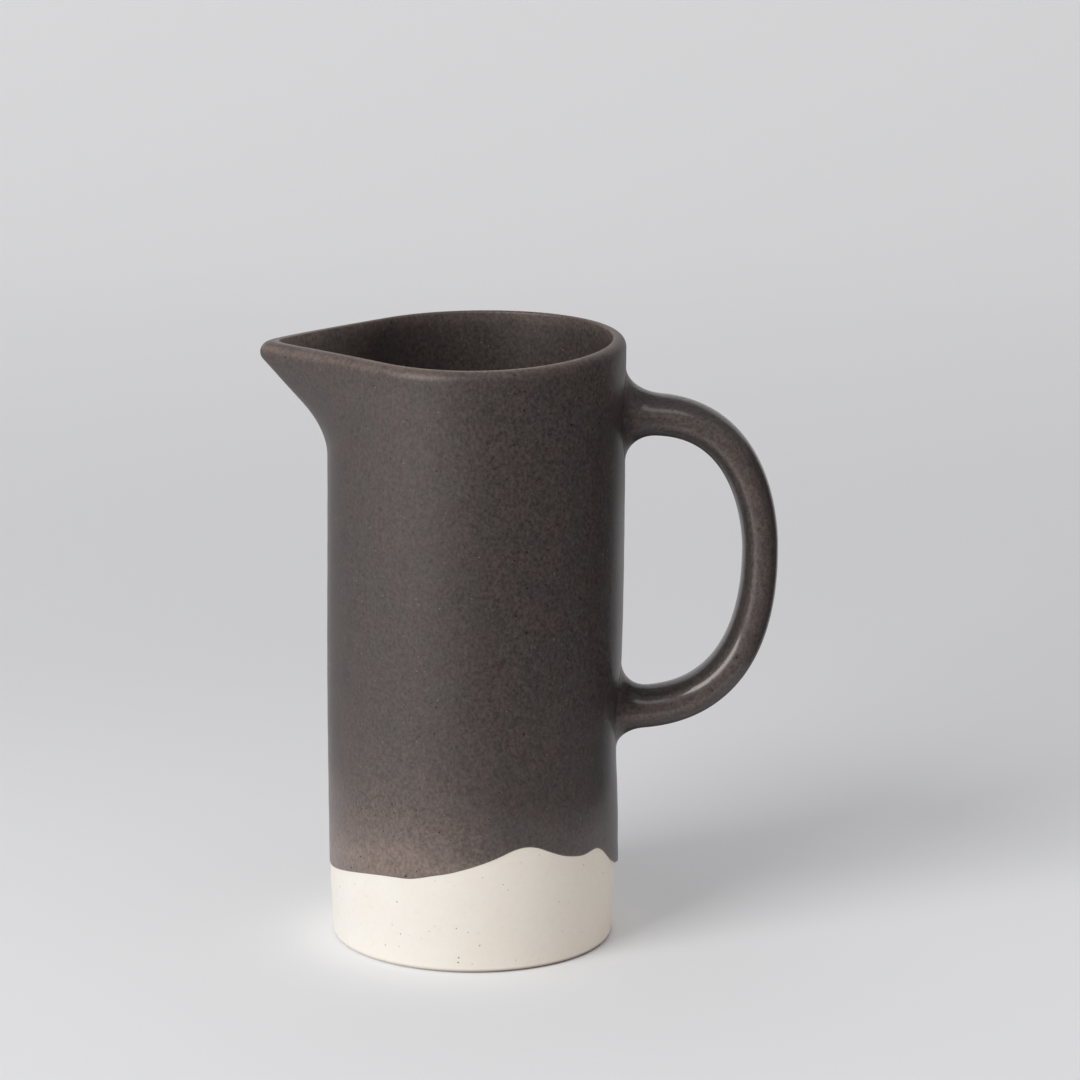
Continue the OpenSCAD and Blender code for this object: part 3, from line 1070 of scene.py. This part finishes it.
@dataclass
class Effects:
    """Effects that the finishes share, each a node group built once."""

    middle: float = 0.5
    detail: float = 3.0
    smallest_speck: float = 0.45
    speck_core: float = 0.5
    mottle: bpy.types.NodeTree = field(init=False)
    specks: bpy.types.NodeTree = field(init=False)

    def __post_init__(self) -> None:
        """Builds the groups."""
        self.mottle = self.build_mottle()
        self.specks = self.build_specks()

    @staticmethod
    def group(name: str, inputs: tuple[str, ...], output: str) -> NewGroup:
        """Starts a group that takes a place and some sizes and puts out one value.

        Args:
            name: Name of the group.
            inputs: Names of its values, after the place.
            output: Name of what it puts out.

        Returns:
            The graph of the group, its input node and its output node.
        """
        tree = bpy.data.node_groups.new(name, "ShaderNodeTree")
        tree.interface.new_socket("Place", in_out="INPUT", socket_type="NodeSocketVector")
        for value in inputs:
            tree.interface.new_socket(value, in_out="INPUT", socket_type="NodeSocketFloat")
        tree.interface.new_socket(output, in_out="OUTPUT", socket_type="NodeSocketFloat")
        graph = Graph(tree)
        return graph, graph.node("NodeGroupInput"), graph.node("NodeGroupOutput")

    def build_mottle(self) -> bpy.types.NodeTree:
        """Builds clouded variation of a given size.

        Returns:
            A group whose value runs from about 0 to 1.
        """
        graph, taken, given = self.group("Mottle", ("Size", "Contrast", "Fineness"), "Value")
        per_length = graph.math("DIVIDE", 1.0, taken.outputs["Size"])
        place = graph.scaled(taken.outputs["Place"], per_length)
        fineness = taken.outputs["Fineness"]
        feeds = {"Vector": place, "Scale": 1.0, "Detail": self.detail, "Roughness": fineness}
        noise = graph.node("ShaderNodeTexNoise", feeds)
        away = graph.math("SUBTRACT", noise.outputs["Fac"], self.middle)
        spread = graph.math("MULTIPLY", away, taken.outputs["Contrast"])
        graph.feed(given.inputs["Value"], graph.math("ADD", spread, self.middle))
        return graph.tree

    def build_specks(self) -> bpy.types.NodeTree:
        """Builds scattered round specks of varied size.

        Returns:
            A group whose mask is 1 on a speck and 0 between.
        """
        graph, taken, given = self.group("Specks", ("Spacing", "Radius", "Share"), "Mask")
        per_length = graph.math("DIVIDE", 1.0, taken.outputs["Spacing"])
        place = graph.scaled(taken.outputs["Place"], per_length)
        cells = graph.node("ShaderNodeTexVoronoi", {"Vector": place, "Scale": 1.0}, feature="F1")
        draw = graph.node("ShaderNodeSeparateColor", {0: cells.outputs["Color"]})
        size = graph.ramp(draw.outputs[1], 0.0, 1.0, self.smallest_speck, 1.0)
        radius = graph.math("MULTIPLY", graph.math("MULTIPLY", taken.outputs["Radius"], per_length), size)
        core = graph.math("MULTIPLY", radius, self.speck_core)
        spot = graph.ramp(cells.outputs["Distance"], core, radius, 1.0, 0.0)
        chosen = graph.math("LESS_THAN", draw.outputs[0], taken.outputs["Share"])
        graph.feed(given.inputs["Mask"], graph.math("MULTIPLY", spot, chosen))
        return graph.tree


@dataclass(frozen=True)
class MottleKind:
    """Clouding of one kind: its size, how strong it is and how much of it is fine."""

    size: float
    contrast: float
    fineness: float = 0.5


@dataclass(frozen=True)
class SpeckKind:
    """Specks of one kind: their colour, their places' spacing, their size and the share of places filled."""

    colour: Colour
    spacing: float
    radius: float
    share: float


@dataclass(frozen=True)
class Finish:
    """What the two fired finishes have in common."""

    effects: Effects
    specks: tuple[SpeckKind, ...]
    roughness: float
    roughness_spread: float
    bump: float
    smooth_grain: float = 0.2
    rough_grain: float = 0.8

    def start(self, name: str) -> NewMaterial:
        """Starts a material.

        Args:
            name: Name of the material.

        Returns:
            Its graph, the material, its shader and the place on the object.
        """
        material = bpy.data.materials.new(name)
        material.use_nodes = True
        graph = Graph(material.node_tree)
        shader = material.node_tree.nodes["Principled BSDF"]
        shader.inputs["Roughness"].default_value = self.roughness
        place = graph.node("ShaderNodeTexCoord").outputs["Object"]
        return graph, material, shader, place

    def mottled(self, graph: Graph, place: Socket, kind: MottleKind) -> Socket:
        """Places the mottle effect."""
        feeds = {"Place": place, "Size": kind.size, "Contrast": kind.contrast, "Fineness": kind.fineness}
        return graph.node("ShaderNodeGroup", feeds, node_tree=self.effects.mottle).outputs["Value"]

    def shift(self, graph: Graph, mottle: Socket, depth: Feed) -> Socket:
        """Turns a mottle into a shift to both sides of nought."""
        return graph.math("MULTIPLY", graph.math("SUBTRACT", mottle, self.effects.middle), depth)

    def specked(self, graph: Graph, place: Socket, colour: Socket) -> Socket:
        """Lays the specks over a colour.

        Args:
            graph: Graph of the material.
            place: Place on the object.
            colour: What lies under the specks.

        Returns:
            The colour with the specks on it.
        """
        for kind in self.specks:
            feeds = {"Place": place, "Spacing": kind.spacing, "Radius": kind.radius, "Share": kind.share}
            speck = graph.node("ShaderNodeGroup", feeds, node_tree=self.effects.specks)
            colour = graph.mix(speck.outputs["Mask"], colour, kind.colour)
        return colour

    def tooth(self, graph: Graph, grain: Socket) -> Socket:
        """Works out a roughness that follows the grain.

        Args:
            graph: Graph of the material.
            grain: The fine mottle.

        Returns:
            The roughness.
        """
        smoother = self.roughness - self.roughness_spread
        rougher = self.roughness + self.roughness_spread
        return graph.ramp(grain, self.smooth_grain, self.rough_grain, smoother, rougher)

    def raise_surface(self, graph: Graph, shader: bpy.types.Node, height: Socket) -> None:
        """Gives the shader a bumpy surface."""
        bump = graph.node("ShaderNodeBump", {"Height": height, "Strength": 1.0, "Distance": self.bump})
        graph.feed(shader.inputs["Normal"], bump.outputs["Normal"])


@dataclass(frozen=True)
class GlazeFinish(Finish):
    """Satin dark brown glaze: clouded, finely grained and specked, paler and warmer where it runs thin and
    where highlights and light are painted, and darker where shade is painted.
    """

    full: Colour = (0.062, 0.047, 0.0425)
    cloud: Colour = (0.054, 0.0465, 0.0435)
    # Colour of thin glaze, also used for the painted highlights, sheen and light on the lip and in the
    # spout.
    thin: Colour = (0.195, 0.147, 0.126)
    specks: tuple[SpeckKind, ...] = (
        SpeckKind((0.012, 0.010, 0.009), 0.0035, 0.00055, 0.6),
        SpeckKind((0.022, 0.017, 0.015), 0.0018, 0.00030, 0.5),
        SpeckKind((0.17, 0.145, 0.13), 0.0022, 0.00032, 0.4),
    )
    clouds: MottleKind = MottleKind(0.011, 3.0)
    grain: MottleKind = MottleKind(0.0011, 1.0, 0.75)
    swell: MottleKind = MottleKind(0.006, 1.0)
    blotches: MottleKind = MottleKind(0.0045, 1.0)
    blotch_depth: float = 0.25
    grain_depth: float = 2.45
    grain_at_dip: float = -0.4
    grain_draw: float = 0.85
    even_mark_strength: float = 1.05
    cloud_mark_strength: float = 0.85
    swell_share: float = 3.0
    bump: float = 0.00003
    roughness: float = 0.45
    roughness_spread: float = 0.05
    matte_roughness: float = 0.5
    matte_start: float = -0.3
    matte_full: float = -1.0
    gloss: float = 0.6
    gloss_tint: Colour = (1.0, 0.86, 0.82)
    coat_roughness: float = 0.13
    coat_ior: float = 1.6

    def material(self) -> bpy.types.Material:
        """Builds the material.

        Returns:
            The glaze, which reads the marks "thinness" and "gloss" from the mesh.
        """
        graph, material, shader, place = self.start("satin_brown_glaze")
        clouds = self.mottled(graph, place, self.clouds)
        draw = (1.0, 1.0, self.grain_draw)
        drawn_up = graph.node("ShaderNodeVectorMath", {0: place, 1: draw}, operation="MULTIPLY")
        grain = self.mottled(graph, drawn_up.outputs[0], self.grain)
        thinness_and_painted_light = graph.mark("thinness_and_painted_light")
        colour = graph.mix(graph.ramp(clouds, 0.0, 1.0), self.full, self.cloud)
        clouded = graph.ramp(clouds, 0.0, 1.0, self.even_mark_strength, self.cloud_mark_strength)
        # Pales towards the thin colour where the glaze runs thin and where highlights and light are painted.
        colour = graph.mix(graph.math("MULTIPLY", thinness_and_painted_light, clouded), colour, self.thin)
        depth = graph.ramp(thinness_and_painted_light, 0.0, 1.0, self.grain_depth, self.grain_depth + self.grain_at_dip)
        grained = self.shift(graph, grain, depth)
        blotched = self.shift(graph, self.mottled(graph, place, self.blotches), self.blotch_depth)
        # Below 0 the mark darkens the glaze: thick glaze on the handle's faces, and painted shade beside and
        # under the handle.
        painted_shade_and_thick_glaze = graph.math("MINIMUM", thinness_and_painted_light, 0.0)
        shift = graph.math("ADD", graph.math("ADD", grained, blotched), painted_shade_and_thick_glaze)
        colour = graph.scaled(colour, graph.math("ADD", shift, 1.0))
        graph.feed(shader.inputs["Base Color"], self.specked(graph, place, colour))
        matte = graph.ramp(thinness_and_painted_light, self.matte_full, self.matte_start, self.matte_roughness, 0.0)
        graph.feed(shader.inputs["Roughness"], graph.math("ADD", self.tooth(graph, grain), matte))
        graph.feed(shader.inputs["Coat Weight"], graph.mark("gloss"))
        shader.inputs["Specular IOR Level"].default_value = self.gloss
        shader.inputs["Specular Tint"].default_value = (*self.gloss_tint, 1.0)
        shader.inputs["Coat Roughness"].default_value = self.coat_roughness
        shader.inputs["Coat IOR"].default_value = self.coat_ior
        swell = self.mottled(graph, place, self.swell)
        height = graph.math("ADD", graph.math("MULTIPLY", swell, self.swell_share), grain)
        self.raise_surface(graph, shader, height)
        return material


@dataclass(frozen=True)
class ClayFinish(Finish):
    """Bare cream stoneware: matte, with a fine tooth, faint clouds and sparse dark specks, painted warmer
    towards the handle's side as shade, and with a dark brown band at the foot that is partly toasted clay
    and partly painted contact shadow.
    """

    cream: Colour = (0.85, 0.815, 0.757)
    warm: Colour = (0.835, 0.748, 0.642)
    shade_warmth_reach: float = 0.05
    cloud_share: float = 0.3
    # Dark brown of the band at the foot's edge: partly toasted clay, partly painted contact shadow.
    toast_and_contact_shadow: Colour = (0.14, 0.085, 0.055)
    specks: tuple[SpeckKind, ...] = (
        SpeckKind((0.26, 0.22, 0.18), 0.0038, 0.00039, 0.6),
        SpeckKind((0.42, 0.36, 0.30), 0.0020, 0.00026, 0.45),
    )
    clouds: MottleKind = MottleKind(0.014, 2.0)
    grain: MottleKind = MottleKind(0.002, 1.0, 0.8)
    grain_depth: float = 0.10
    bump: float = 0.00004
    roughness: float = 0.82
    roughness_spread: float = 0.08
    contact_band_height: float = 0.0017
    contact_band_least: float = 0.25
    contact_band_start: float = -0.042
    contact_band_end: float = 0.02

    def material(self) -> bpy.types.Material:
        """Builds the material.

        Returns:
            The bare clay.
        """
        graph, material, shader, place = self.start("bare_stoneware")
        clouds = self.mottled(graph, place, self.clouds)
        grain = self.mottled(graph, place, self.grain)
        axes = graph.node("ShaderNodeSeparateXYZ", {0: place}).outputs
        # Painted shade: the clay turns warmer towards the handle's side, away from the lamp.
        shade_side_warmth = graph.ramp(axes["X"], -self.shade_warmth_reach, self.shade_warmth_reach, 0.0, 1.0 - self.cloud_share)
        clouded = graph.ramp(clouds, 0.0, 1.0, 0.0, self.cloud_share)
        colour = graph.mix(graph.math("ADD", shade_side_warmth, clouded), self.cream, self.warm)
        grained = self.shift(graph, grain, self.grain_depth)
        colour = graph.scaled(colour, graph.math("ADD", grained, 1.0))
        # Band at the foot's edge: partly toasted clay, partly painted contact shadow, painted heavier
        # towards the handle's side, away from the lamp.
        shaded_side_strength = graph.ramp(axes["X"], self.contact_band_start, self.contact_band_end, self.contact_band_least)
        toast_and_shadow_share = graph.ramp(axes["Z"], 0.0, self.contact_band_height, shaded_side_strength, 0.0)
        colour = graph.mix(toast_and_shadow_share, colour, self.toast_and_contact_shadow)
        graph.feed(shader.inputs["Base Color"], self.specked(graph, place, colour))
        graph.feed(shader.inputs["Roughness"], self.tooth(graph, grain))
        self.raise_surface(graph, shader, grain)
        return material


@dataclass(frozen=True)
class SoftLamp:
    """A rectangular soft lamp: where it hangs as seen from the jug, its size and its power."""

    name: str
    turn: float
    rise: float
    distance: float
    width: float
    height: float
    power: float
    in_gloss_only: bool = False

    def hang(self, aim: Place) -> None:
        """Hangs the lamp.

        Args:
            aim: The point that it faces.
        """
        level = math.cos(self.rise)
        away = Vector((math.sin(self.turn) * level, -math.cos(self.turn) * level, math.sin(self.rise)))
        lamp = bpy.data.lights.new(self.name, "AREA")
        lamp.shape = "RECTANGLE"
        lamp.size = self.width
        lamp.size_y = self.height
        lamp.energy = self.power
        hung = bpy.data.objects.new(self.name, lamp)
        hung.visible_diffuse = not self.in_gloss_only
        place = Vector(aim) + away * self.distance
        hung.matrix_world = Matrix.LocRotScale(place, away.to_track_quat("Z", "Y"), None)
        bpy.context.scene.collection.objects.link(hung)


@dataclass(frozen=True)
class CardStop:
    """A direction round the dark card, from the front, and how solid the card is there."""

    turn: float
    solid: float


@dataclass
class Studio:
    """Pale floor that sweeps up behind, a large soft lamp at the left and a dim room.

    A small lamp above the front and a dark card round the jug show in reflections alone.
    """

    half_width: float = 2.6
    front: float = -2.2
    curve_start: float = 1.0
    curve_radius: float = 1.3
    top: float = 2.6
    curve_steps: int = 40
    # Painted light fall-off: the paper is paler near the front and up the backdrop, and darker in between.
    near_paper: Colour = (0.93, 0.93, 0.94)
    paper: Colour = (0.79, 0.79, 0.80)
    far_paper: Colour = (0.895, 0.895, 0.90)
    near_end: float = -0.06
    near_fade: float = 0.44
    far_start: float = 0.45
    far_end: float = 1.2
    room: Colour = (0.99, 0.99, 1.0)
    room_strength: float = 0.495
    room_gloss: float = 0.15
    room_seen: float = 0.73
    lamps: tuple[SoftLamp, ...] = (
        SoftLamp("side_lamp", math.radians(-48.0), math.radians(28.0), 3.6, 1.9, 2.95, 82.0),
        SoftLamp(
            "front_strip", math.radians(14.0), math.radians(54.0), 2.0, 1.25, 0.6, 2.4, in_gloss_only=True
        ),
    )
    aim: Place = (0.0, 0.0, 0.1)
    card_radius: float = 0.2
    card_height: float = 0.2
    card_stops: tuple[CardStop, ...] = (
        CardStop(math.radians(-160.0), 0.0),
        CardStop(math.radians(-130.0), 0.45),
        CardStop(math.radians(-105.0), 0.35),
        CardStop(math.radians(-75.0), 0.0),
        CardStop(math.radians(-35.0), 0.0),
        CardStop(math.radians(5.0), 1.0),
        CardStop(math.radians(111.0), 1.0),
        CardStop(math.radians(124.0), 0.0),
    )
    card_steps: int = 121
    card_grey: Colour = (0.01, 0.01, 0.01)
    camera_place: Place = (-0.034112, -1.578886, 0.533278)
    camera_yaw: float = math.radians(2.0)
    camera_pitch: float = math.radians(14.2207)
    camera_roll: float = math.radians(0.5016)
    camera_lens: float = 166.667
    camera_sensor: float = 36.0

    def sweep(self) -> None:
        """Makes the floor and the backdrop as one curved sheet."""
        arc = np.linspace(0.0, np.pi / 2.0, self.curve_steps)
        y = np.concatenate([[self.front], self.curve_start + self.curve_radius * np.sin(arc)])
        z = np.concatenate([[0.0], self.curve_radius * (1.0 - np.cos(arc))])
        y = np.append(y, self.curve_start + self.curve_radius)
        z = np.append(z, self.top)
        left = np.stack([np.full_like(y, -self.half_width), y, z], axis=-1)
        right = left * np.array([-1.0, 1.0, 1.0])
        sweep = self.sheet("sweep", left, right, self.paper)
        graph = Graph(sweep.data.materials[0].node_tree)
        place = graph.node("ShaderNodeTexCoord").outputs["Object"]
        depth = graph.node("ShaderNodeSeparateXYZ", {0: place}).outputs["Y"]
        # Painted light fall-off across the floor and up the backdrop.
        past_near = graph.ramp(depth, self.near_end, self.near_end + self.near_fade)
        colour = graph.mix(past_near, self.near_paper, self.paper)
        colour = graph.mix(graph.ramp(depth, self.far_start, self.far_end), colour, self.far_paper)
        shader = graph.tree.nodes["Principled BSDF"]
        graph.feed(shader.inputs["Base Color"], colour)

    def card(self) -> None:
        """Stands a dark card round the jug, open at the lamp and behind, for reflections alone."""
        angle = np.linspace(-np.pi, np.pi, self.card_steps)
        foot = np.stack([np.sin(angle), -np.cos(angle), np.zeros_like(angle)], axis=-1) * self.card_radius
        head = foot + np.array([0.0, 0.0, self.card_height])
        card = self.sheet("dark_card", foot, head, self.card_grey)
        turns = [stop.turn for stop in self.card_stops]
        solid = np.interp(angle, turns, [stop.solid for stop in self.card_stops])
        kept = card.data.attributes.new("solid", "FLOAT", "POINT")
        kept.data.foreach_set("value", np.concatenate([solid, solid]))
        graph = Graph(card.data.materials[0].node_tree)
        shader = graph.tree.nodes["Principled BSDF"]
        graph.feed(shader.inputs["Alpha"], graph.mark("solid"))
        card.visible_camera = False
        card.visible_diffuse = False
        card.visible_shadow = False

    @staticmethod
    def sheet(name: str, first: Values, second: Values, colour: Colour) -> bpy.types.Object:
        """Stretches a matte sheet between two edges.

        Args:
            name: Name of the sheet.
            first: Points of one edge.
            second: Points of the other edge.
            colour: Colour of the sheet.

        Returns:
            The sheet.
        """
        count = len(first)
        faces = [(k, count + k, count + k + 1, k + 1) for k in range(count - 1)]
        mesh = bpy.data.meshes.new(name)
        mesh.from_pydata(np.concatenate([first, second]).tolist(), [], faces)
        mesh.polygons.foreach_set("use_smooth", np.ones(len(faces), dtype=bool))
        made = bpy.data.objects.new(name, mesh)
        bpy.context.scene.collection.objects.link(made)
        matte = bpy.data.materials.new(name)
        matte.use_nodes = True
        shader = matte.node_tree.nodes["Principled BSDF"]
        shader.inputs["Base Color"].default_value = (*colour, 1.0)
        shader.inputs["Roughness"].default_value = 1.0
        shader.inputs["Specular IOR Level"].default_value = 0.0
        mesh.materials.append(matte)
        return made

    def light(self) -> None:
        """Hangs the lamps and lights the room, which is dimmer in reflections and paler to the camera."""
        for lamp in self.lamps:
            lamp.hang(self.aim)
        world = bpy.data.worlds.new("room")
        world.use_nodes = True
        background = world.node_tree.nodes["Background"]
        background.inputs["Color"].default_value = (*self.room, 1.0)
        graph = Graph(world.node_tree)
        rays = graph.node("ShaderNodeLightPath").outputs
        strength = graph.ramp(rays["Is Glossy Ray"], 0.0, 1.0, self.room_strength, self.room_gloss)
        strength = graph.ramp(rays["Is Camera Ray"], 0.0, 1.0, strength, self.room_seen)
        graph.feed(background.inputs["Strength"], strength)
        bpy.context.scene.world = world

    def camera(self) -> None:
        """Sets the camera where the photograph was taken from."""
        level = math.cos(self.camera_pitch)
        aside = math.sin(self.camera_yaw)
        onward = math.cos(self.camera_yaw)
        forward = Vector((aside * level, onward * level, -math.sin(self.camera_pitch)))
        flat_right = Vector((onward, -aside, 0.0))
        flat_up = flat_right.cross(forward)
        right = math.cos(self.camera_roll) * flat_right + math.sin(self.camera_roll) * flat_up
        up = -math.sin(self.camera_roll) * flat_right + math.cos(self.camera_roll) * flat_up
        data = bpy.data.cameras.new("camera")
        data.lens = self.camera_lens
        data.sensor_width = self.camera_sensor
        camera = bpy.data.objects.new("camera", data)
        facing = Matrix((right, up, -forward)).transposed().to_4x4()
        camera.matrix_world = Matrix.Translation(self.camera_place) @ facing
        bpy.context.scene.collection.objects.link(camera)
        bpy.context.scene.camera = camera

    def build(self) -> None:
        """Sets up the whole studio."""
        self.sweep()
        self.card()
        self.light()
        self.camera()
        bpy.context.scene.view_settings.view_transform = "Standard"


def main() -> None:
    """Builds the jug and the studio in order, and reports each piece."""
    logging.basicConfig(level=logging.INFO, format="%(message)s")
    form = JugForm.from_frame()
    foot = FootForm(form)
    coat = GlazeCoat(form, foot, DipLine())
    effects = Effects()
    glaze = GlazeFinish(effects).material()
    clay = ClayFinish(effects).material()
    pieces: list[tuple[JugPiece, bpy.types.Material]] = [
        (StonewareBody(form, foot), clay),
        (coat, glaze),
        (HandleCoat(form, coat), glaze),
        (HandleCore(), clay),
    ]
    for made, material in pieces:
        piece = made.build()
        made.dress(piece, material)
        log.info("%s: %d faces in %s", piece.name, len(piece.data.polygons), material.name)
    Studio().build()


if __name__ == "__main__":
    main()
